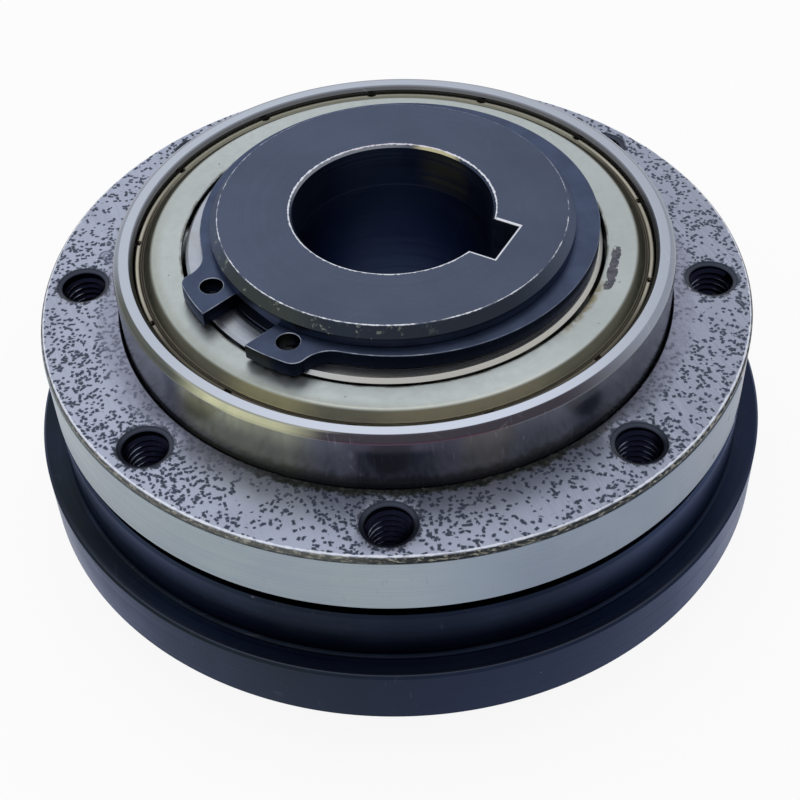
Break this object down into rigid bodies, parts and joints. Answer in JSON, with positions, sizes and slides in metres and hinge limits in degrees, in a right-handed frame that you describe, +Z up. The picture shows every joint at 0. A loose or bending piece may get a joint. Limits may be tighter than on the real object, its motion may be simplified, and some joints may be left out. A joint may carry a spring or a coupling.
{
  "type": "safety clutch",
  "caption": "Compact ratchetting safety clutch with a keyed hub, a shielded ball bearing, a threaded output flange, a sprung thrust cup and an adjusting nut.",
  "frame": {"origin": "on the bore axis, in the plane of the hub's lower end face that the clutch stands on", "axes": "+Z up along the bore axis, from the adjusting nut to the bearing; -Y towards the pictured side"},
  "size_m": [0.0856, 0.0856, 0.041],
  "materials": {
    "black_oxide": "satin black oxide on machined steel",
    "spring_black": "dark phosphated spring steel",
    "bearing_steel": "ground bright steel",
    "shield_sheet": "satin pressed sheet",
    "ground_steel": "ground steel with small dark marks",
    "foil": "satin foil"
  },
  "bodies": {
    "hub_side": {"hub": "black_oxide", "retaining_ring": "spring_black", "bearing_inner_ring": "bearing_steel", "cup_spring_lower": "spring_black", "cup_spring_upper": "spring_black"},
    "output_side": {"output_flange": "ground_steel", "bearing_outer_ring": "bearing_steel", "bearing_shield": "shield_sheet", "type_tag": "foil"},
    "bearing_row": {"bearing_cage": "shield_sheet", "bearing_ball_1": "bearing_steel", "bearing_ball_2": "bearing_steel", "bearing_ball_3": "bearing_steel", "bearing_ball_4": "bearing_steel", "bearing_ball_5": "bearing_steel", "bearing_ball_6": "bearing_steel", "bearing_ball_7": "bearing_steel", "bearing_ball_8": "bearing_steel", "bearing_ball_9": "bearing_steel", "bearing_ball_10": "bearing_steel", "bearing_ball_11": "bearing_steel", "bearing_ball_12": "bearing_steel", "bearing_ball_13": "bearing_steel", "bearing_ball_14": "bearing_steel", "bearing_ball_15": "bearing_steel"},
    "detent": {"thrust_cup": "black_oxide", "drive_ball_1": "bearing_steel", "drive_ball_2": "bearing_steel", "drive_ball_3": "bearing_steel", "drive_ball_4": "bearing_steel", "drive_ball_5": "bearing_steel", "drive_ball_6": "bearing_steel", "drive_ball_7": "bearing_steel", "drive_ball_8": "bearing_steel"},
    "spring_seat": {"spring_seat_ring": "black_oxide"},
    "nut": {"adjusting_nut": "black_oxide", "nut_lock_screw": "bearing_steel"}
  },
  "joints": [
    {"name": "flange_turn", "type": "hinge", "parent": "hub_side", "child": "output_side", "pos_m": [0, 0, 0.031], "axis": [0, 0, 1], "range_deg": [0, 4.76], "stiffness_Nm_per_rad": 12, "springref_deg": -11.46},
    {"name": "cup_release", "type": "slide", "parent": "hub_side", "child": "detent", "axis": [0, 0, -1], "range_m": [0, 0.0016], "deforming": ["cup_spring_lower", "cup_spring_upper"]},
    {"name": "cage_roll", "type": "hinge", "parent": "hub_side", "child": "bearing_row", "pos_m": [0, 0, 0.031], "axis": [0, 0, 1], "range_deg": [0, 2.7]},
    {"name": "seat_rise", "type": "slide", "parent": "hub_side", "child": "spring_seat", "axis": [0, 0, 1], "range_m": [0, 0.00101]},
    {"name": "nut_turn", "type": "hinge", "parent": "spring_seat", "child": "nut", "pos_m": [0, 0, 0.003], "axis": [0, 0, 1], "range_deg": [0, 240]}
  ],
  "couplings": [
    {"joint": "cup_release", "follows": "flange_turn", "m_per_rad": 0.019256},
    {"joint": "cage_roll", "follows": "flange_turn", "ratio": 0.5623},
    {"joint": "seat_rise", "follows": "nut_turn", "m_per_rad": 0.00023873}
  ]
}
